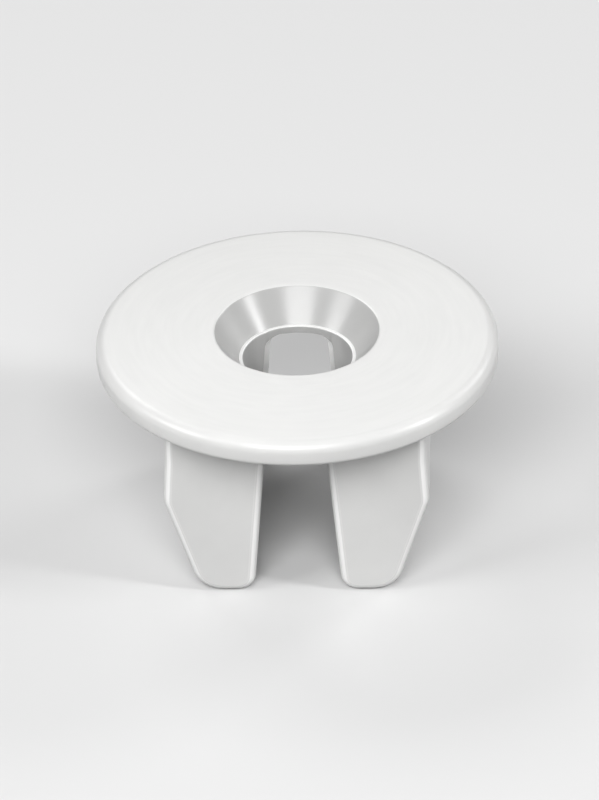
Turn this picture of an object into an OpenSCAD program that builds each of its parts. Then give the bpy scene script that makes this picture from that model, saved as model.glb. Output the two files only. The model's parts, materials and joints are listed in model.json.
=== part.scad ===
// Push-in screw grommet: a round, countersunk flange on a square shank that a slot splits into two legs.
// The seat under the flange is the plane z = 0, the screw runs along Z, and the legs point down.
// The slot runs from front to back, along Y. All sizes are in millimetres.

/* [Flange] */
// Diameter of the flange
flange_d = 19.5; // [18.6:0.1:24]
// Height of the flange's edge above the seat
flange_h = 1.2; // [0.9:0.05:2]
// Rise of the crowned top face, from the flange's edge to the countersink
crown_h = 0.3; // [0.1:0.05:0.6]
// Radius on the top edge of the flange
rim_r = 0.55; // [0.1:0.05:0.6]
// Radius on the lower edge of the flange
seat_edge_r = 0.25; // [0.05:0.05:0.3]

/* [Screw hole] */
// Diameter of the bore that the screw cuts its thread in
bore_d = 5.3; // [5:0.05:6.2]
// Diameter of the countersink where it meets the top face
sink_d = 8; // [7.4:0.1:8.4]
// Angle between the countersink's two sides
sink_angle = 75; // [68:1:100]
// Radius on the lip between the top face and the countersink
lip_r = 0.2; // [0.05:0.05:0.3]
// Width of the flat ledge between the countersink and the bore
ledge_w = 0.18; // [0.1:0.02:0.4]
// Radius on the ledge's inner edge, at the top of the bore
ledge_r = 0.08; // [0.02:0.01:0.09]

/* [Shank] */
// Width across the snap shoulders, along X
shoulder_w = 12.8; // [12:0.1:13.2]
// How far each snap shoulder stands out past the neck
shoulder_step = 0.12; // [0.05:0.01:0.25]
// Depth of the shank from front to back, along Y
shank_d = 12.6; // [10:0.1:13]
// Height of the neck that the panel sits around
neck_h = 2.1; // [1.2:0.1:3]
// Height of the ramp from the neck out to the shoulder
ramp_h = 2; // [0.4:0.1:2.5]
// Height of the straight side under the ramp
side_h = 0.35; // [0.25:0.05:3]
// Height of the tapered lead-in at the end of the legs
taper_h = 5.1; // [4:0.1:7]
// Width across the two tips, before their corners are rounded
tip_w = 9.5; // [8.8:0.1:11.5]
// Radius on the outer corner of each tip
outer_tip_r = 1.5; // [0.8:0.05:1.6]
// Radius on the inner corner of each tip
inner_tip_r = 0.85; // [0.4:0.05:0.9]
// Radius on every other edge of the legs
edge_r = 0.4; // [0.1:0.05:0.4]

/* [Slot] */
// Width of the slot at its top
slot_w = 2.7; // [1.6:0.1:3.2]
// Angle by which each slot wall leans outward towards the tips
slot_draft = 4.8; // [1:0.1:6]
// Thickness of the solid web between the seat and the top of the slot
web_h = 0.4; // [0.35:0.05:1]
// Radius in the slot's top corners
slot_r = 0.4; // [0.1:0.05:0.5]
// Width of the bevel where the slot walls meet the bore
bore_bevel = 0.3; // [0.1:0.05:0.4]

/* [Hidden] */

nylon = [0.93, 0.93, 0.92];
turn_fn = 96;
edge_fn = 32;
arc_steps = 8;
// How far a cutter runs past the surface that it opens
clear = 1;
// How far the slot's corner arcs run into the legs, so that they meet the walls at a clean angle
corner_bite = 0.02;

flange_r = flange_d / 2;
bore_r = bore_d / 2;
sink_r = sink_d / 2;
sink_half = sink_angle / 2;
top_z = flange_h + crown_h;

// The crown is part of a sphere through the flange's edge and the rim of the countersink
crown_drop = (pow(flange_r, 2) - pow(sink_r, 2) - pow(crown_h, 2)) / (2 * crown_h);
crown_z = flange_h - crown_drop;
crown_r = norm([flange_r, crown_drop]);
rim_x = flange_r - rim_r;
rim_z = crown_z + sqrt(pow(crown_r - rim_r, 2) - pow(rim_x, 2));
rim_turn = atan2(rim_z - crown_z, rim_x);

// The legs reach half way up into the flange, where they join it
root_z = flange_h / 2;
shoulder_x = shoulder_w / 2;
neck_x = shoulder_x - shoulder_step;
taper_z = -(neck_h + ramp_h + side_h);
tip_z = taper_z - taper_h;
edge_y = shank_d / 2 - edge_r;

// Half the slot's width at height z
function slot_x(z) = slot_w / 2 - (z + web_h) * tan(slot_draft);

// Points along an arc
function arc(centre, r, from, to) =
    [for (i = [0 : arc_steps]) let (a = from + (to - from) * i / arc_steps)
        centre + r * [cos(a), sin(a)]];

function unit(v) = v / norm(v);

// Centre of the circle of radius r that rounds the corner between two neighbouring points
function corner_centre(before, corner, after, r) =
    let (u = unit(before - corner), v = unit(after - corner))
        corner + (u + v) * r / abs(u.x * v.y - u.y * v.x);

// Reflected copy of a point list, in reverse order so that an outline keeps its sense
function mirrored(points) = [for (i = [len(points) - 1 : -1 : 0]) [-points[i].x, points[i].y]];

// A prism drawn in X and Z, along Y, centred on the XZ plane
module along_y(depth) {
    rotate([90, 0, 0]) linear_extrude(depth, center = true) children();
}

module head() {
    rotate_extrude($fn = turn_fn) polygon(concat(
        [[0, 0]],
        arc([flange_r - seat_edge_r, seat_edge_r], seat_edge_r, -90, 0),
        arc([rim_x, rim_z], rim_r, 0, rim_turn),
        arc([0, crown_z], crown_r, rim_turn, 90)
    ));
}

// The countersink, ledge and bore, as one turned cutter
module screw_hole() {
    cone = [sin(sink_half), cos(sink_half)];
    lip = [sink_r, top_z] + cone * -lip_r * (1 - sin(sink_half)) / cos(sink_half)
        + lip_r * [cone.y, -cone.x];
    ledge = [bore_r + ledge_w, top_z - (sink_r - bore_r - ledge_w) / tan(sink_half)];
    rotate_extrude($fn = turn_fn) polygon(concat(
        [[0, tip_z - clear], [bore_r, tip_z - clear]],
        arc([bore_r + ledge_r, ledge.y - ledge_r], ledge_r, 180, 90),
        [ledge],
        arc(lip, lip_r, 180 - sink_half, 90),
        [[lip.x, top_z + clear], [0, top_z + clear]]
    ));
}

// A disc of radius r with a rounded edge, standing on its rim. At r = edge_r it is a ball.
module rounding(r) {
    rotate([90, 0, 0]) rotate_extrude($fn = edge_fn) intersection() {
        translate([r - edge_r, 0]) circle(edge_r, $fn = edge_fn);
        translate([0, -edge_r]) square([r, 2 * edge_r]);
    }
}

// One leg before its neck and its side of the bore are cut, rounded on all its edges
module leg_blank() {
    outline = [
        [slot_x(root_z), root_z],
        [shoulder_x, root_z],
        [shoulder_x, taper_z],
        [tip_w / 2, tip_z],
        [slot_x(tip_z), tip_z]
    ];
    radii = [edge_r, edge_r, edge_r, outer_tip_r, inner_tip_r];
    count = len(outline);
    hull() for (i = [0 : count - 1]) {
        before = outline[(i + count - 1) % count];
        after = outline[(i + 1) % count];
        centre = corner_centre(before, outline[i], after, radii[i]);
        for (y = [-edge_y, edge_y]) translate([centre.x, y, centre.y]) rounding(radii[i]);
    }
}

// What is cut off the leg's outer side for the panel to sit in
module panel_groove() {
    along_y(shank_d + clear) polygon([
        [neck_x, root_z + clear],
        [neck_x, -neck_h],
        [shoulder_x, -neck_h - ramp_h],
        [shoulder_x + clear, -neck_h - ramp_h],
        [shoulder_x + clear, root_z + clear]
    ]);
}

// Bevels along the two edges where the leg's slot wall meets the bore, leaning with the wall
module bore_bevels() {
    wall_x = slot_w / 2;
    edge = [wall_x, sqrt(pow(bore_r, 2) - pow(wall_x, 2))];
    on_wall = edge + [0, bore_bevel];
    on_bore = edge + bore_bevel * [edge.y, -edge.x] / bore_r;
    past = bore_bevel * unit(on_bore - on_wall);
    side = [on_wall - past, on_bore + past];
    flip = [for (p = [side[1], side[0]]) [p.x, -p.y]];
    translate([wall_x, 0, -web_h]) rotate([0, -slot_draft, 0])
        translate([-wall_x, 0, tip_z - clear]) linear_extrude(-tip_z + clear)
            polygon(concat(side, flip));
}

module leg() {
    difference() {
        leg_blank();
        panel_groove();
        bore_bevels();
    }
}

// The part of the shank above the slot, with the slot's rounded top corners
module web() {
    corner_x = slot_w / 2 - slot_r + corner_bite;
    wing_x = slot_w / 2 + slot_r + edge_r;
    side = concat(
        [[wing_x, root_z], [wing_x, -web_h - slot_r]],
        arc([corner_x, -web_h - slot_r], slot_r, 0, 90)
    );
    along_y(2 * edge_y) polygon(concat(side, mirrored(side)));
}

module screw_grommet() {
    color(nylon) difference() {
        union() {
            head();
            web();
            leg();
            mirror([1, 0, 0]) leg();
        }
        screw_hole();
    }
}

screw_grommet();
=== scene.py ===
"""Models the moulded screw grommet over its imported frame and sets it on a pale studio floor."""

import json
from math import atan2, cos, hypot, pi, radians, sin, sqrt, tan

import bmesh
import bpy
from mathutils import Matrix, Vector


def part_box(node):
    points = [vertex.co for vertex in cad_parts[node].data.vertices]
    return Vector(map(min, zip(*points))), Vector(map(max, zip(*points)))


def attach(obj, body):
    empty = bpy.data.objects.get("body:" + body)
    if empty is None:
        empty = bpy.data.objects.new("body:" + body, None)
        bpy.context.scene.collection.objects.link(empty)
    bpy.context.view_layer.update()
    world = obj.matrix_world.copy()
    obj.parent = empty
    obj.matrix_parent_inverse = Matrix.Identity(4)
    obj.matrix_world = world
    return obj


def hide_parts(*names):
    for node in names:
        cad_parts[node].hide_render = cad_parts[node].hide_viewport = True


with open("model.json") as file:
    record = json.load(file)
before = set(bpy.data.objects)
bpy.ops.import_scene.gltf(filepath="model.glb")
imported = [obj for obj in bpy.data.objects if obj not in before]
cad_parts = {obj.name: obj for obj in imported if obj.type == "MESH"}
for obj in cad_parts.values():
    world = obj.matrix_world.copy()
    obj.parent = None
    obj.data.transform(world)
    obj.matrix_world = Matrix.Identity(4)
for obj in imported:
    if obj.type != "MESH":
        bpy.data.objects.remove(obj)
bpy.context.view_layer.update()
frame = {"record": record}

bl_info = {
    "name": "Screw Grommet",
    "version": (1, 0, 0),
    "blender": (4, 5, 0),
    "location": "View3D > Sidebar > Grommet",
    "description": "Models a push-in nylon screw grommet and its studio stage",
    "category": "Add Mesh",
}

MM = 0.001
NODE = "screw_grommet"
BODY = "root"

LOW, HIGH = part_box(NODE)
MOUNTS = {mount["name"]: mount for mount in frame["record"]["mounts"]}
BORE_R = MOUNTS["screw_bore"]["dims"]["r_mm"] * MM
SEAT_Z = MOUNTS["flange_seat"]["pos_m"][2]

# The photograph's frame, and where the middle of the flange's edge lies in it, in pixels
PHOTO_WIDTH = 599
PHOTO_HEIGHT = 800
FLANGE_PIXEL = (297, 334.6)

# How finely round shapes are divided
TURN_STEPS = 192
RIM_STEPS = 10
CROWN_STEPS = 14
LIP_STEPS = 8
CONE_STEPS = 4
EDGE_STEPS = 6
TIP_STEPS = 9

# How near a vertex has to lie to count as being at a place
NEAR = 0.002 * MM
# A gap too small to see, which keeps two surfaces from lying in each other
HAIR = NEAR / 4
# How far cutters run past the surface that they open
PAST = 1.0 * MM
# Height of the countersink's floor above the seat, before the bore is cut through it
FLOOR_Z = 0.08 * MM
# The bore's cutter follows the countersink's side up to this multiple of the floor's height
FLOOR_PASS = 1.2
# How far the legs and the web reach up into the flange, each to a level of its own
LEG_ROOT_Z = FLOOR_Z / 2
WEB_ROOT_Z = FLOOR_Z / 4
# A level face looks up or down at least this much, and a front or back face along Y at least this much
LEVEL = 0.9
SQUARE = 0.99
# Faces that meet at less than this are one flat face
FLAT = radians(0.1)
# Edges that turn by more than this stay sharp
SHARP = radians(32)

# Names of the attributes that mark where highlights are painted on edges, the ledge and the slot's
# bevels, and where shade is painted in the hole
EDGE = "painted_edge_highlight"
PAINTED_SHADE_MARK = "painted_hollow_shade"
# How far outside the bore the legs' rounded edges start
EDGE_CLEAR = 0.5 * MM
# The higher this is, the nearer to the front and back faces the painted highlight line on a rounded edge
# lies
EDGE_POWER = 6
# A face of the hole looks at least this much towards the axis
SIDEWAYS = 0.5
# The ledge looks up at least this much, and the bevels beside the slot look down at least this much
LEDGE_LEVEL = 0.75
LEAN = 0.02
# The crown looks up at least this much
CROWN_LEVEL = 0.99
# How much of the painted edge highlight the ledge takes
LEDGE_SHARE = 0.55
# How much of the painted hollow shade the countersink takes
SINK_SHARE = 0.85

# The nylon's refraction, and how much of its light spreads inside it
NYLON_IOR = 1.53
SPREAD = 0.25
# How many times a metre each pattern changes, and how finely it is broken up
CLOUD_SCALE, CLOUD_DETAIL = 260, 3
GRAIN_SCALE, GRAIN_DETAIL = 5200, 4
RING_SCALE, RING_DETAIL = 3600, 4
LINE_SCALE, LINE_DETAIL = 3800, 3
# How fast a turned ring changes around the axis, and how far a drawn line is stretched along it
RING_TURN = 3
LINE_STRETCH = 0.04
# How much the clouding changes the roughness
CLOUD_GLOSS = 0.22
# How much of the clouding and of the rings shows in the tone of a turned face
TURNED_CLOUD = 0.25
TURNED_RINGS = 0.45
# Heights of the rings and lines, and how much of the grain is added to each
RING_HEIGHT, RING_GRAIN = 0.004 * MM, 0.3
LINE_HEIGHT, LINE_GRAIN = 0.003 * MM, 0.5
# The shader's turn that lays highlights across the rings, as a share of a full turn
ACROSS_RINGS = 0.25

# Soft lamps: turn from the front towards +X and height in degrees, width and height in metres, and power
LAMPS = {
    "key": (-70, 30, 0.28, 0.2, 1.55),
    "front": (-4, 42, 0.4, 0.3, 3.25),
    "back": (-150, 42, 0.3, 0.2, 0.8),
    "right": (74, 27, 0.08, 0.3, 1.6),
    "rim": (128, 30, 0.18, 0.2, 0.65),
}
LAMP_DISTANCE = 0.6
# Strength of the even light from all round
FILL = 0.03
# The floor's size in metres, its roughness and the strength of its sheen
FLOOR_SIZE = 4
FLOOR_GLOSS = 0.7
FLOOR_SHINE = 0.2
# Width of the camera's sensor in millimetres, and its nearest sight as a share of its distance
SENSOR = 36
NEAREST = 0.01


def length(name, description, default):
    """A size in metres that a user may change."""
    return bpy.props.FloatProperty(
        name=name, description=description, default=default, min=0.0, unit="LENGTH", precision=5
    )


def angle(name, description, degrees):
    """An angle that a user may change."""
    return bpy.props.FloatProperty(
        name=name, description=description, default=radians(degrees), subtype="ANGLE"
    )


def colour(name, description, default):
    """A linear colour that a user may change."""
    return bpy.props.FloatVectorProperty(
        name=name, description=description, default=default, size=3, min=0.0, max=1.0, subtype="COLOR"
    )


def share(name, description, default):
    """A number from 0 to 1 that a user may change."""
    return bpy.props.FloatProperty(
        name=name, description=description, default=default, min=0.0, max=1.0, subtype="FACTOR"
    )


class FlangeSizes(bpy.types.PropertyGroup):
    """Sizes of the turned head: flange, crown, countersink, ledge and bore."""

    diameter: length("Diameter", "Diameter of the flange", 2 * min(HIGH.x, -LOW.x))
    top: length("Top", "Height of the countersink's rim above the seat", HIGH.z - SEAT_Z)
    edge_height: length("Edge height", "Height of the flange's edge above the seat", 1.2 * MM)
    rim_radius: length("Rim radius", "Radius on the flange's top edge", 0.55 * MM)
    seat_radius: length("Seat edge radius", "Radius on the flange's lower edge", 0.25 * MM)
    sink_diameter: length("Countersink", "Diameter of the countersink at the top face", 8.0 * MM)
    sink_angle: angle("Countersink angle", "Angle between the countersink's two sides", 75)
    lip_radius: length("Lip radius", "Radius on the countersink's rim", 0.2 * MM)
    ledge_width: length("Ledge width", "Flat ledge between countersink and bore", 0.18 * MM)
    ledge_radius: length("Ledge radius", "Radius on the ledge's inner edge", 0.08 * MM)
    bore_radius: length("Bore radius", "Radius of the screw's bore", BORE_R)


class ShankSizes(bpy.types.PropertyGroup):
    """Sizes of the square shank and its two legs."""

    shoulder_width: length("Shoulder width", "Width across the snap shoulders", 12.8 * MM)
    shoulder_step: length("Shoulder step", "How far a shoulder stands out from the neck", 0.12 * MM)
    depth: length("Depth", "Depth of the shank from front to back", 12.6 * MM)
    neck_height: length("Neck height", "Height of the neck under the flange", 2.1 * MM)
    ramp_height: length("Ramp height", "Height of the ramp from neck to shoulder", 2.0 * MM)
    side_height: length("Side height", "Height of the straight side under the ramp", 0.35 * MM)
    leg_height: length("Leg height", "Reach of the legs below the seat", SEAT_Z - LOW.z - HAIR)
    tip_width: length("Tip width", "Width across the tips before rounding", 9.5 * MM)
    outer_tip_radius: length("Outer tip radius", "Radius on each tip's outer corner", 1.5 * MM)
    inner_tip_radius: length("Inner tip radius", "Radius on each tip's inner corner", 0.85 * MM)
    edge_radius: length("Edge radius", "Radius on the edges of the legs", 0.4 * MM)
    crease_radius: length("Crease radius", "Radius where the legs' sides change direction", 0.8 * MM)
    root_radius: length("Root radius", "Fillet between the shank and the seat", 0.12 * MM)


class SlotSizes(bpy.types.PropertyGroup):
    """Sizes of the slot that splits the shank."""

    width: length("Width", "Width of the slot at its top", 2.7 * MM)
    draft: angle("Draft", "Lean of each slot wall towards the tips", 4.8)
    web: length("Web", "Thickness of the web above the slot", 0.4 * MM)
    corner_radius: length("Corner radius", "Radius in the slot's top corners", 0.4 * MM)
    bore_bevel: length("Bore bevel", "Bevel where the slot walls meet the bore", 0.3 * MM)


class NylonFinish(bpy.types.PropertyGroup):
    """Colours and gloss of the moulded nylon, with a painted highlight tone and a painted shade tone."""

    light: colour("Light tone", "Nylon where it is clearest", (0.76, 0.76, 0.75))
    dark: colour("Dark tone", "Nylon where it is cloudiest", (0.64, 0.64, 0.635))
    # Painted highlight: a paler tone on the legs' rounded edges, the ledge and the slot's bevels
    edge: colour("Edge tone", "Nylon on rounded edges, where light gathers", (0.96, 0.96, 0.95))
    # Painted shade: a darker tone in the countersink and the bore, fading towards the tips
    painted_hollow_shade: colour("Hollow tone", "Nylon in the countersink and the bore", (0.4, 0.4, 0.396))
    gloss: share("Roughness", "Roughness of the moulded surface", 0.34)
    crown_gloss: share("Crown roughness", "Roughness of the crowned top face", 0.55)
    crown_shine: share("Crown shine", "Strength of the crown's sheen", 0.25)
    sink_gloss: share("Countersink roughness", "Roughness of the countersink", 0.34)
    sink_shine: share("Countersink shine", "Strength of the countersink's sheen", 0.85)
    sheen_stretch: share("Turned sheen", "How far the turned face stretches its highlights", 0.75)
    depth: length("Light depth", "How far light spreads inside the nylon", 0.35 * MM)


class StageSettings(bpy.types.PropertyGroup):
    """Camera, lights and floor."""

    azimuth: angle("Azimuth", "Camera's turn towards +X from the front", 2.1)
    elevation: angle("Elevation", "Camera's height angle", 33.4)
    roll: angle("Roll", "Camera's turn about its own axis", -1.4)
    distance: length("Distance", "Camera's distance from the flange", 400 * MM)
    frame_height: length("Frame height", "Height of what the picture takes in", 38.7 * MM)
    floor: colour("Floor", "Colour of the floor", (0.7, 0.7, 0.7))
    bounce: colour("Floor bounce", "Tone of the light that the floor sends back", (0.15, 0.15, 0.15))


GROUPS = {
    "grommet_flange": FlangeSizes,
    "grommet_shank": ShankSizes,
    "grommet_slot": SlotSizes,
    "grommet_finish": NylonFinish,
    "grommet_stage": StageSettings,
}


# Modelling helpers

def deselect_objects():
    """Leaves object mode with nothing selected."""
    if bpy.context.object and bpy.context.object.mode != "OBJECT":
        bpy.ops.object.mode_set(mode="OBJECT")
    bpy.ops.object.select_all(action="DESELECT")


def make_active(piece):
    """Selects one object alone and makes it active."""
    deselect_objects()
    piece.select_set(True)
    bpy.context.view_layer.objects.active = piece


def choose(kind, test):
    """Selects the vertices, edges or faces of the mesh in edit mode that pass a test."""
    bpy.ops.mesh.select_mode(type={"verts": "VERT", "edges": "EDGE", "faces": "FACE"}[kind])
    bpy.ops.mesh.select_all(action="DESELECT")
    data = bpy.context.edit_object.data
    mesh = bmesh.from_edit_mesh(data)
    mesh.normal_update()
    found = [part for part in getattr(mesh, kind) if test(part)]
    for part in found:
        part.select_set(True)
    mesh.select_flush_mode()
    bmesh.update_edit_mesh(data)
    if not found:
        raise RuntimeError(f"no {kind} found to shape on {bpy.context.edit_object.name}")


def near(value, target):
    """Whether a coordinate lies at a place."""
    return abs(value - target) < NEAR


def extrude(shift):
    """Extrudes the selected faces by a shift."""
    bpy.ops.mesh.extrude_region_move(TRANSFORM_OT_translate={"value": shift})


def leave_edit():
    """Turns all faces outward and leaves edit mode. Returns the object."""
    bpy.ops.mesh.select_all(action="SELECT")
    bpy.ops.mesh.normals_make_consistent(inside=False)
    bpy.ops.object.mode_set(mode="OBJECT")
    return bpy.context.object


def arc(centre, radius, start, end, steps):
    """Points along an arc in a plane."""
    turns = [start + (end - start) * i / steps for i in range(steps + 1)]
    return [Vector((centre[0] + radius * cos(t), centre[1] + radius * sin(t))) for t in turns]


def rounded(corners, steps):
    """Points along a line through corners, each given as x, z and the radius that rounds it."""
    points = []
    for before, (x, z, radius), after in zip(corners, corners[1:], corners[2:]):
        corner = Vector((x, z))
        back = (Vector(before[:2]) - corner).normalized()
        on = (Vector(after[:2]) - corner).normalized()
        half = back.angle(on) / 2
        middle = corner + (back + on).normalized() * radius / sin(half)
        first = corner + back * radius / tan(half) - middle
        last = corner + on * radius / tan(half) - middle
        start = atan2(first.y, first.x)
        sweep = (atan2(last.y, last.x) - start + pi) % (2 * pi) - pi
        points += arc(middle, radius, start, start + sweep, steps)
    return points


def combine(piece, tool, operation):
    """Joins a tool to a piece or cuts it away, and removes the tool."""
    make_active(piece)
    bpy.ops.object.modifier_add(type="BOOLEAN")
    modifier = piece.modifiers[-1]
    modifier.operation = operation
    modifier.solver = "EXACT"
    modifier.object = tool
    bpy.ops.object.modifier_apply(modifier=modifier.name)
    bpy.data.objects.remove(tool)


def turn(outline):
    """Extrudes a filled ring through an outline of radius and height, as on a lathe."""
    ring, *rest = outline
    deselect_objects()
    bpy.ops.mesh.primitive_circle_add(
        vertices=TURN_STEPS, radius=ring.x, fill_type="NGON", location=(0, 0, 0), enter_editmode=True
    )
    bpy.ops.transform.translate(value=(0, 0, ring.y))
    for point in rest:
        extrude((0, 0, point.y - ring.y))
        factor = point.x / ring.x
        bpy.ops.transform.resize(value=(factor, factor, 1), center_override=(0, 0, point.y))
        ring = point
    return leave_edit()


# The turned head and its hole

def ledge_corner(flange):
    """Where the countersink's side meets the ledge, as radius and height."""
    radius = flange.bore_radius + flange.ledge_width
    wide = flange.sink_diameter / 2 - radius
    return Vector((radius, flange.top - wide / tan(flange.sink_angle / 2)))


def head_outline(flange):
    """The head from the seat's rim, round the crown and down the countersink to its floor."""
    radius = flange.diameter / 2
    sink = flange.sink_diameter / 2
    rise = flange.top - flange.edge_height
    half = flange.sink_angle / 2
    seat = flange.seat_radius

    # The crown is part of a sphere through the flange's edge and the countersink's rim
    drop = (radius**2 - sink**2 - rise**2) / (2 * rise)
    crown = Vector((0, flange.edge_height - drop))
    crown_radius = hypot(radius, drop)
    rim_x = radius - flange.rim_radius
    rim_z = crown.y + sqrt((crown_radius - flange.rim_radius) ** 2 - rim_x**2)
    rim_turn = atan2(rim_z - crown.y, rim_x)

    # The lip is a circle that touches the crown from below and the countersink's side
    side = Vector((sin(half), cos(half)))
    start = Vector((sink, flange.top)) + flange.lip_radius * Vector((side.y, -side.x)) - crown
    along = start.dot(side)
    slide = -along + sqrt(along**2 - start.length_squared + (crown_radius - flange.lip_radius) ** 2)
    lip = crown + start + slide * side
    lip_turn = atan2(lip.y - crown.y, lip.x)

    lip_arc = arc(lip, flange.lip_radius, lip_turn, pi - half, LIP_STEPS)
    corner = ledge_corner(flange)
    floor = corner + side * (FLOOR_Z - corner.y) / side.y
    return (
        arc((radius - seat, seat), seat, -pi / 2, 0, EDGE_STEPS)
        + arc((rim_x, rim_z), flange.rim_radius, 0, rim_turn, RIM_STEPS)
        + arc(crown, crown_radius, rim_turn, lip_turn, CROWN_STEPS)[1:-1]
        + lip_arc
        + [lip_arc[-1].lerp(floor, i / CONE_STEPS) for i in range(1, CONE_STEPS + 1)]
    )


def hole_outline(flange, shank):
    """The bore from below the tips, up over the ledge and through the countersink's floor."""
    corner = ledge_corner(flange)
    edge = flange.ledge_radius
    # Past the ledge the cutter stays a hair inside the countersink's side, so that it never touches it
    leave = corner + Vector((tan(flange.sink_angle / 2), 1)) * (FLOOR_PASS * FLOOR_Z - corner.y)
    leave.x -= HAIR
    return (
        [Vector((flange.bore_radius, -shank.leg_height - PAST))]
        + arc((flange.bore_radius + edge, corner.y - edge), edge, pi, pi / 2, EDGE_STEPS)
        + [corner, leave, Vector((leave.x, flange.top + PAST))]
    )


# The split shank

def slot_half(slot, height):
    """Half the slot's width at a height."""
    return slot.width / 2 - (height + slot.web) * tan(slot.draft)


def leg_outlines(shank, slot):
    """The right leg's outer side and its slot side, from the fillet under the seat down to the tip."""
    shoulder = shank.shoulder_width / 2
    neck = shoulder - shank.shoulder_step
    top_z = -shank.root_radius
    ramp_z = -shank.neck_height - shank.ramp_height
    tip_z = -shank.leg_height
    outer = rounded([
        (neck, top_z),
        (neck, -shank.neck_height, shank.crease_radius),
        (shoulder, ramp_z, shank.crease_radius),
        (shoulder, ramp_z - shank.side_height, shank.crease_radius),
        (shank.tip_width / 2, tip_z, shank.outer_tip_radius),
        (0, tip_z),
    ], TIP_STEPS)
    inner = rounded([
        (slot_half(slot, top_z), top_z),
        (slot_half(slot, tip_z), tip_z, shank.inner_tip_radius),
        (shoulder, tip_z),
    ], TIP_STEPS)
    return [Vector((neck, top_z)), *outer], [Vector((slot_half(slot, top_z), top_z)), *inner]


def at_height(outline, height):
    """Where an outline that runs downward is at a height."""
    for upper, lower in zip(outline, outline[1:]):
        if lower.y <= height <= upper.y and lower.y < upper.y:
            return upper.lerp(lower, (upper.y - height) / (upper.y - lower.y)).x
    return outline[-1].x


def draw_down(outlines):
    """Extrudes the selected faces down, level by level, so that their sides follow outlines."""
    top = max(outline[0].y for outline in outlines)
    bottom = min(outline[-1].y for outline in outlines)
    levels = [top]
    for height in sorted((point.y for outline in outlines for point in outline), reverse=True):
        if levels[-1] - height > 2 * NEAR and height - bottom > 2 * NEAR:
            levels.append(height)
    levels.append(bottom)
    sides = [outline[0].x for outline in outlines]
    for height, below in zip(levels, levels[1:]):
        extrude((0, 0, below - height))
        for i, outline in enumerate(outlines):
            next_side = outline[-1].x if below == bottom else at_height(outline, below)
            choose("verts", lambda v: near(v.co.z, below) and near(abs(v.co.x), sides[i]))
            bpy.ops.transform.resize(value=(next_side / sides[i], 1, 1), center_override=(0, 0, 0))
            sides[i] = next_side
        choose("faces", lambda f: abs(f.normal.z) > LEVEL and near(f.calc_center_median().z, below))


def round_edges(shank):
    """Clears the flat faces of the levels' edges, and rounds the edges of the front and back."""
    top = -shank.root_radius
    bpy.ops.mesh.select_all(action="SELECT")
    bpy.ops.mesh.dissolve_limited(angle_limit=FLAT)
    choose("edges", lambda e: sum(abs(f.normal.y) > SQUARE for f in e.link_faces) == 1
           and not all(near(v.co.z, top) for v in e.verts))
    bpy.ops.mesh.bevel(
        offset=shank.edge_radius, offset_type="OFFSET", segments=EDGE_STEPS,
        profile=0.5, affect="EDGES", clamp_overlap=False,
    )


def flare_root(shank, middle, half):
    """Spreads the top of a leg out to the seat in a small fillet, and sinks it into the flange."""
    radius = shank.root_radius
    height = -radius
    start = half
    choose("faces", lambda f: abs(f.normal.z) > LEVEL and near(f.calc_center_median().z, height))
    for point in arc((radius, 2 * HAIR - radius), radius, pi, pi / 2, EDGE_STEPS)[1:]:
        extrude((0, 0, point.y - height))
        wide = start + Vector((point.x, point.x))
        bpy.ops.transform.resize(
            value=(wide.x / half.x, wide.y / half.y, 1), center_override=(middle, 0, point.y)
        )
        height, half = point.y, wide
    extrude((0, 0, LEG_ROOT_Z - height))


def mould_legs(shank, slot):
    """Draws the right leg down from its root, rounds it and mirrors it across the slot."""
    outlines = leg_outlines(shank, slot)
    outer, inner = (outline[0].x for outline in outlines)
    middle = (outer + inner) / 2
    deselect_objects()
    bpy.ops.mesh.primitive_plane_add(size=1, location=(0, 0, 0), enter_editmode=True)
    bpy.ops.transform.resize(value=(outer - inner, shank.depth, 1), center_override=(0, 0, 0))
    bpy.ops.transform.translate(value=(middle, 0, -shank.root_radius))
    draw_down(outlines)
    bpy.ops.mesh.select_all(action="SELECT")
    bpy.ops.mesh.normals_make_consistent(inside=False)
    round_edges(shank)
    flare_root(shank, middle, Vector((outer - inner, shank.depth)) / 2)
    leg = leave_edit()
    bpy.ops.object.modifier_add(type="MIRROR")
    leg.modifiers[-1].use_mirror_merge = False
    bpy.ops.object.modifier_apply(modifier=leg.modifiers[-1].name)
    return leg


def mould_web(shank, slot):
    """The web between the legs' roots, set back by the legs' rounding, with the slot's top corners."""
    tip_z = -shank.leg_height
    # The corners run a hair into the legs, so that they meet the slot's walls at a clean angle
    corner = rounded([
        (0, -slot.web),
        (slot.width / 2 + 2 * NEAR, -slot.web, slot.corner_radius),
        (slot_half(slot, tip_z) + 2 * NEAR, tip_z),
    ], TIP_STEPS)
    wing = slot.width / 2 + slot.corner_radius + shank.edge_radius
    depth = shank.depth - 2 * shank.edge_radius
    deselect_objects()
    bpy.ops.mesh.primitive_cube_add(size=1, location=(0, 0, 0), enter_editmode=True)
    bpy.ops.transform.resize(value=(2 * wing, depth, WEB_ROOT_Z + slot.web), center_override=(0, 0, 0))
    bpy.ops.transform.translate(value=(0, 0, (WEB_ROOT_Z - slot.web) / 2))
    for side in (-corner[0].x, corner[0].x):
        bpy.ops.mesh.select_all(action="SELECT")
        bpy.ops.mesh.bisect(plane_co=(side, 0, 0), plane_no=(1, 0, 0))
    choose("faces", lambda f: f.normal.z < -LEVEL and abs(f.calc_center_median().x) > corner[0].x)
    draw_down([corner])
    return leave_edit()


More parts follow.
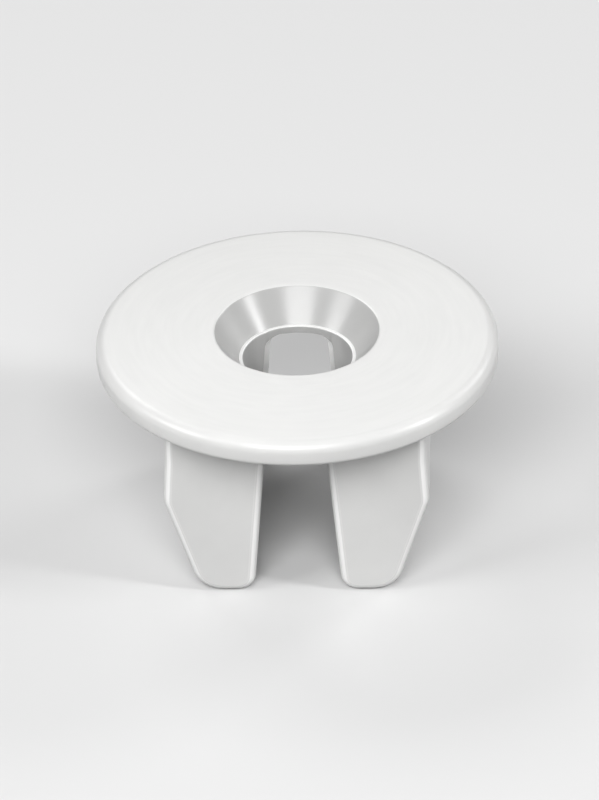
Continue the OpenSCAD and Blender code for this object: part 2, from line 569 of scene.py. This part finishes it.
def slot_mouth(flange, shank, slot):
    """A block as wide as the slot that flares inside the bore, to bevel the edges between them."""
    wall = slot.width / 2
    edge_y = sqrt(flange.bore_radius**2 - wall**2)
    grow = slot.bore_bevel * edge_y / flange.bore_radius
    inner_y = edge_y - slot.bore_bevel * wall / flange.bore_radius
    outer_y = edge_y + slot.bore_bevel
    # In the bore the block also reaches a little above the slot's top
    top = grow / 2 - slot.web
    bottom = -shank.leg_height - PAST
    deselect_objects()
    bpy.ops.mesh.primitive_cube_add(size=1, location=(0, 0, 0), enter_editmode=True)
    bpy.ops.transform.resize(
        value=(2 * (wall + grow), 2 * inner_y, top - bottom), center_override=(0, 0, 0)
    )
    bpy.ops.transform.translate(value=(0, 0, (top + bottom) / 2))
    choose("verts", lambda v: near(v.co.z, bottom))
    factor = (slot_half(slot, bottom) + grow) / (wall + grow)
    bpy.ops.transform.resize(value=(factor, 1, 1), center_override=(0, 0, 0))
    choose("edges", lambda e: all(near(v.co.z, top) for v in e.verts)
           and near(e.verts[0].co.x, e.verts[1].co.x))
    bpy.ops.mesh.bevel(
        offset=slot.corner_radius + grow, offset_type="OFFSET", segments=TIP_STEPS,
        profile=0.5, affect="EDGES", clamp_overlap=False,
    )
    for end in (-1, 1):
        choose("faces", lambda f: f.normal.y * end > SQUARE)
        extrude((0, end * (outer_y - inner_y), 0))
        bpy.ops.transform.resize(
            value=(wall / (wall + grow), 1, (-slot.web - bottom) / (top - bottom)),
            center_override=(0, 0, bottom),
        )
    return leave_edit()


# The nylon

def new_group(name, inputs, outputs):
    """A shader group with named sockets, and its input and output nodes."""
    group = bpy.data.node_groups.new(name, "ShaderNodeTree")
    for side, sockets in (("INPUT", inputs), ("OUTPUT", outputs)):
        for socket, kind in sockets.items():
            group.interface.new_socket(name=socket, in_out=side, socket_type=kind)
    return group, group.nodes.new("NodeGroupInput"), group.nodes.new("NodeGroupOutput")


def add_math(tree, operation, first, second):
    """A math node, with each of its two inputs a socket or a number."""
    node = tree.nodes.new("ShaderNodeMath")
    node.operation = operation
    for socket, value in zip(node.inputs, (first, second)):
        if isinstance(value, (int, float)):
            socket.default_value = value
        else:
            tree.links.new(value, socket)
    return node.outputs["Value"]


def add_noise(tree, vector, scale, detail):
    """A noise texture's value over a vector."""
    node = tree.nodes.new("ShaderNodeTexNoise")
    node.inputs["Scale"].default_value = scale
    node.inputs["Detail"].default_value = detail
    tree.links.new(vector, node.inputs["Vector"])
    return node.outputs["Fac"]


def cloud_group():
    """Faint clouding and grain that all the nylon shares."""
    group, source, sink = new_group(
        "nylon_cloud",
        {"Vector": "NodeSocketVector", "Roughness": "NodeSocketFloat"},
        {"Cloud": "NodeSocketFloat", "Roughness": "NodeSocketFloat", "Grain": "NodeSocketFloat"},
    )
    vector = source.outputs["Vector"]
    cloud = add_noise(group, vector, CLOUD_SCALE, CLOUD_DETAIL)
    grain = add_noise(group, vector, GRAIN_SCALE, GRAIN_DETAIL)
    # The noise lies around one half, so that the roughness keeps its mean
    patch = add_math(group, "MULTIPLY", add_math(group, "SUBTRACT", cloud, 0.5), CLOUD_GLOSS)
    roughness = add_math(group, "ADD", source.outputs["Roughness"], patch)
    group.links.new(cloud, sink.inputs["Cloud"])
    group.links.new(roughness, sink.inputs["Roughness"])
    group.links.new(grain, sink.inputs["Grain"])
    return group


def nylon_material(name, cloud, finish, gloss):
    """White nylon with the shared clouding, painted highlights on the marked edges and painted shade in
    the marked hole.

    Returns the material, its tree and shader, and the sockets that give place and grain.
    """
    material = bpy.data.materials.new(name)
    material.use_nodes = True
    tree = material.node_tree
    shader = tree.nodes["Principled BSDF"]
    place = tree.nodes.new("ShaderNodeTexCoord")
    clouding = tree.nodes.new("ShaderNodeGroup")
    clouding.node_tree = cloud
    clouding.inputs["Roughness"].default_value = gloss
    tree.links.new(place.outputs["Object"], clouding.inputs["Vector"])

    tone = tree.nodes.new("ShaderNodeMix")
    tone.data_type = "RGBA"
    tone.label = "tone"
    tone.inputs["A"].default_value = (*finish.light, 1)
    tone.inputs["B"].default_value = (*finish.dark, 1)
    tree.links.new(clouding.outputs["Cloud"], tone.inputs["Factor"])
    last = tone.outputs["Result"]
    # Paints shade into the hole, and highlights onto the marked edges, ledge and bevels
    for mark, marked in ((PAINTED_SHADE_MARK, finish.painted_hollow_shade), (EDGE, finish.edge)):
        amount = tree.nodes.new("ShaderNodeAttribute")
        amount.attribute_name = mark
        blend = tree.nodes.new("ShaderNodeMix")
        blend.data_type = "RGBA"
        blend.inputs["B"].default_value = (*marked, 1)
        tree.links.new(amount.outputs["Fac"], blend.inputs["Factor"])
        tree.links.new(last, blend.inputs["A"])
        last = blend.outputs["Result"]
    tree.links.new(last, shader.inputs["Base Color"])
    tree.links.new(clouding.outputs["Roughness"], shader.inputs["Roughness"])

    shader.inputs["IOR"].default_value = NYLON_IOR
    shader.inputs["Subsurface Weight"].default_value = SPREAD
    shader.inputs["Subsurface Radius"].default_value = (1, 1, 1)
    shader.inputs["Subsurface Scale"].default_value = finish.depth
    return material, tree, shader, place.outputs["Object"], clouding.outputs["Grain"]


def mix_tone(tree, rings):
    """Lets turned rings share in the tone with the clouding."""
    tone = next(node for node in tree.nodes if node.label == "tone")
    cloud = tone.inputs["Factor"].links[0].from_socket
    faint_cloud = add_math(tree, "MULTIPLY", cloud, TURNED_CLOUD)
    faint_rings = add_math(tree, "MULTIPLY", rings, TURNED_RINGS)
    tree.links.new(add_math(tree, "ADD", faint_cloud, faint_rings), tone.inputs["Factor"])


def add_relief(tree, shader, height, depth):
    """Feeds a height to the shader's normal."""
    bump = tree.nodes.new("ShaderNodeBump")
    bump.inputs["Strength"].default_value = 1
    bump.inputs["Distance"].default_value = depth
    tree.links.new(height, bump.inputs["Height"])
    tree.links.new(bump.outputs["Normal"], shader.inputs["Normal"])


def turned_nylon(name, cloud, finish, gloss, shine):
    """Nylon with the fine rings that a turned mould leaves, for the crown and countersink."""
    material, tree, shader, place, grain = nylon_material(name, cloud, finish, gloss)
    parts = tree.nodes.new("ShaderNodeSeparateXYZ")
    tree.links.new(place, parts.inputs["Vector"])
    squares = [add_math(tree, "POWER", parts.outputs[axis], 2) for axis in ("X", "Y")]
    radius = add_math(tree, "SQRT", add_math(tree, "ADD", *squares), 0)
    round_place = tree.nodes.new("ShaderNodeCombineXYZ")
    for axis in ("X", "Y"):
        around = add_math(tree, "DIVIDE", parts.outputs[axis], radius)
        tree.links.new(add_math(tree, "MULTIPLY", around, RING_TURN), round_place.inputs[axis])
    tree.links.new(add_math(tree, "MULTIPLY", radius, RING_SCALE), round_place.inputs["Z"])
    rings = add_noise(tree, round_place.outputs["Vector"], 1, RING_DETAIL)
    height = add_math(tree, "ADD", rings, add_math(tree, "MULTIPLY", grain, RING_GRAIN))
    add_relief(tree, shader, height, RING_HEIGHT)
    mix_tone(tree, rings)

    shader.inputs["Anisotropic"].default_value = finish.sheen_stretch
    shader.inputs["Anisotropic Rotation"].default_value = ACROSS_RINGS
    shader.inputs["Specular IOR Level"].default_value = shine
    around_axis = tree.nodes.new("ShaderNodeTangent")
    around_axis.direction_type = "RADIAL"
    around_axis.axis = "Z"
    tree.links.new(around_axis.outputs["Tangent"], shader.inputs["Tangent"])
    return material


def drawn_nylon(cloud, finish):
    """Nylon with faint lines along the draw of the mould, for the rim, seat and legs."""
    material, tree, shader, place, grain = nylon_material("drawn_nylon", cloud, finish, finish.gloss)
    stretch = tree.nodes.new("ShaderNodeMapping")
    stretch.inputs["Scale"].default_value = (1, 1, LINE_STRETCH)
    tree.links.new(place, stretch.inputs["Vector"])
    lines = add_noise(tree, stretch.outputs["Vector"], LINE_SCALE, LINE_DETAIL)
    height = add_math(tree, "ADD", lines, add_math(tree, "MULTIPLY", grain, LINE_GRAIN))
    add_relief(tree, shader, height, LINE_HEIGHT)
    return material


def mark_faces(piece, flange, shank):
    """Marks where highlights are painted on the legs' edges, the ledge and the slot's bevels, and where
    shade is painted in the countersink and bore; the marks in the hole fade towards the tips.
    """
    data = piece.data
    for name in (EDGE, PAINTED_SHADE_MARK):
        data.attributes.new(name, "FLOAT", "CORNER")
    marks = {name: data.attributes[name].data for name in (EDGE, PAINTED_SHADE_MARK)}
    for face in data.polygons:
        out = face.center.xy
        inward = -face.normal.xy.dot(out) / out.length
        low = face.center.z < SEAT_Z
        name, strength, fade = EDGE, 0, 1
        # Painted highlight along the legs' rounded edges
        if low and out.length > flange.bore_radius + EDGE_CLEAR:
            # The mark is 1 part of the way round the edge, and 0 on flat faces
            front = abs(face.normal.y) ** EDGE_POWER
            strength, fade = 4 * front * (1 - front), 0
        # Painted highlight on the ledge
        elif low and face.normal.z > LEDGE_LEVEL:
            strength = LEDGE_SHARE
        # Painted highlight on the bevels beside the slot
        elif inward > SIDEWAYS and face.normal.z < -LEAN:
            strength = 1
        # Painted shade in the countersink and the bore
        elif inward > SIDEWAYS and out.length < flange.sink_diameter / 2:
            name = PAINTED_SHADE_MARK
            strength = SINK_SHARE if face.normal.z > SIDEWAYS else 1
        for corner, vertex in zip(face.loop_indices, face.vertices):
            depth = max(SEAT_Z - data.vertices[vertex].co.z, 0)
            marks[name][corner].value = strength * (1 - fade * min(depth / shank.leg_height, 1))


def finish_surface(piece, finish, flange, shank):
    """Marks where highlights and shade are painted, gives the crown and the countersink their turned
    finishes, and the rest the drawn one.
    """
    mark_faces(piece, flange, shank)
    cloud = cloud_group()
    piece.data.materials.clear()
    for material in (
        drawn_nylon(cloud, finish),
        turned_nylon("crown_nylon", cloud, finish, finish.crown_gloss, finish.crown_shine),
        turned_nylon("countersink_nylon", cloud, finish, finish.sink_gloss, finish.sink_shine),
    ):
        piece.data.materials.append(material)
    for face in piece.data.polygons:
        if face.normal.z > CROWN_LEVEL and face.center.z > SEAT_Z:
            face.material_index = 1
        elif face.normal.z > SIDEWAYS and face.center.xy.length < flange.sink_diameter / 2:
            face.material_index = 2


class MouldBody(bpy.types.Operator):
    """Model the grommet: head, split shank and bore, moulded as one piece"""

    bl_idname = "grommet.mould_body"
    bl_label = "Mould Body"

    def execute(self, context):
        scene = context.scene
        flange, shank, slot = scene.grommet_flange, scene.grommet_shank, scene.grommet_slot
        body = turn(head_outline(flange))
        combine(body, mould_legs(shank, slot), "UNION")
        combine(body, mould_web(shank, slot), "UNION")
        combine(body, turn(hole_outline(flange, shank)), "DIFFERENCE")
        combine(body, slot_mouth(flange, shank, slot), "DIFFERENCE")
        make_active(body)
        bpy.ops.object.mode_set(mode="EDIT")
        bpy.ops.mesh.select_all(action="SELECT")
        bpy.ops.mesh.remove_doubles(threshold=NEAR / 2)
        bpy.ops.mesh.normals_make_consistent(inside=False)
        bpy.ops.object.mode_set(mode="OBJECT")
        bpy.ops.object.shade_smooth_by_angle(angle=SHARP)
        bpy.ops.object.modifier_add(type="WEIGHTED_NORMAL")
        body.modifiers[-1].keep_sharp = True
        bpy.ops.object.modifier_apply(modifier=body.modifiers[-1].name)

        body.name = "grommet_body"
        finish_surface(body, scene.grommet_finish, flange, shank)
        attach(body, BODY)
        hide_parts(NODE)
        return {"FINISHED"}


# The stage

def view_axes(azimuth, elevation):
    """The right, up and backward directions of a camera or lamp."""
    back = Vector((sin(azimuth) * cos(elevation), -cos(azimuth) * cos(elevation), sin(elevation)))
    right = Vector((0, 0, 1)).cross(back).normalized()
    return right, back.cross(right), back


def facing(right, up, back):
    """The turn that looks against the backward direction."""
    return Matrix((right, up, back)).transposed().to_4x4()


def place_camera(stage, target):
    """Sets the camera so that the target falls on its pixel of the photograph."""
    right, up, back = view_axes(stage.azimuth, stage.elevation)
    tilt = Matrix.Rotation(stage.roll, 3, back)
    right, up = tilt @ right, tilt @ up
    pixel = stage.frame_height / PHOTO_HEIGHT
    aim = target + right * (PHOTO_WIDTH / 2 - FLANGE_PIXEL[0]) * pixel
    aim -= up * (PHOTO_HEIGHT / 2 - FLANGE_PIXEL[1]) * pixel
    data = bpy.data.cameras.new("camera")
    data.sensor_width = SENSOR
    data.lens = data.sensor_width * stage.distance / stage.frame_height
    data.clip_start = stage.distance * NEAREST
    camera = bpy.data.objects.new("camera", data)
    bpy.context.scene.collection.objects.link(camera)
    camera.matrix_world = Matrix.Translation(aim + back * stage.distance) @ facing(right, up, back)
    bpy.context.scene.camera = camera


def add_softbox(name, target, azimuth, elevation, width, height, power):
    """A flat lamp that faces the target."""
    right, up, back = view_axes(radians(azimuth), radians(elevation))
    data = bpy.data.lights.new(name, "AREA")
    data.shape = "RECTANGLE"
    data.size, data.size_y = width, height
    data.energy = power
    lamp = bpy.data.objects.new(name, data)
    bpy.context.scene.collection.objects.link(lamp)
    lamp.matrix_world = Matrix.Translation(target + back * LAMP_DISTANCE) @ facing(right, up, back)


def floor_material(stage):
    """Plain floor, pale where it is seen, that sends less light back up at the object."""
    material = bpy.data.materials.new("pale_floor")
    material.use_nodes = True
    tree = material.node_tree
    shader = tree.nodes["Principled BSDF"]
    ray = tree.nodes.new("ShaderNodeLightPath")
    seen = add_math(tree, "ADD", ray.outputs["Is Camera Ray"], ray.outputs["Is Glossy Ray"])
    seen = add_math(tree, "ADD", seen, ray.outputs["Is Transmission Ray"])
    tone = tree.nodes.new("ShaderNodeMix")
    tone.data_type = "RGBA"
    tone.inputs["A"].default_value = (*stage.bounce, 1)
    tone.inputs["B"].default_value = (*stage.floor, 1)
    tree.links.new(seen, tone.inputs["Factor"])
    tree.links.new(tone.outputs["Result"], shader.inputs["Base Color"])
    shader.inputs["Roughness"].default_value = FLOOR_GLOSS
    shader.inputs["Specular IOR Level"].default_value = FLOOR_SHINE
    return material


class SetStage(bpy.types.Operator):
    """Set the floor, soft studio lights and the camera"""

    bl_idname = "grommet.set_stage"
    bl_label = "Set Stage"

    def execute(self, context):
        stage = context.scene.grommet_stage
        flange = context.scene.grommet_flange
        target = Vector((0, 0, flange.edge_height))
        deselect_objects()
        bpy.ops.mesh.primitive_plane_add(size=FLOOR_SIZE, location=(0, 0, LOW.z))
        floor = context.object
        floor.name = "floor"
        bpy.ops.object.transform_apply(location=True)
        floor.data.materials.append(floor_material(stage))

        place_camera(stage, target)
        for name, lamp in LAMPS.items():
            add_softbox(name, target, *lamp)

        world = bpy.data.worlds.new("studio")
        world.use_nodes = True
        background = world.node_tree.nodes["Background"]
        background.inputs["Color"].default_value = (1, 1, 1, 1)
        background.inputs["Strength"].default_value = FILL
        context.scene.world = world
        context.scene.view_settings.view_transform = "Standard"
        return {"FINISHED"}


class GrommetPanel(bpy.types.Panel):
    """Sizes, finish and stage of the grommet"""

    bl_idname = "VIEW3D_PT_grommet"
    bl_label = "Screw Grommet"
    bl_space_type = "VIEW_3D"
    bl_region_type = "UI"
    bl_category = "Grommet"

    def draw(self, context):
        layout = self.layout
        layout.operator(MouldBody.bl_idname)
        layout.operator(SetStage.bl_idname)
        for name, group in GROUPS.items():
            box = layout.box()
            settings = getattr(context.scene, name)
            for field in group.__annotations__:
                box.prop(settings, field)


CLASSES = (*GROUPS.values(), MouldBody, SetStage, GrommetPanel)


def register():
    for item in CLASSES:
        bpy.utils.register_class(item)
    for name, group in GROUPS.items():
        setattr(bpy.types.Scene, name, bpy.props.PointerProperty(type=group))


def unregister():
    for name in GROUPS:
        delattr(bpy.types.Scene, name)
    for item in reversed(CLASSES):
        bpy.utils.unregister_class(item)


def main():
    register()
    bpy.ops.grommet.set_stage()
    bpy.ops.grommet.mould_body()


if __name__ == "__main__":
    main()
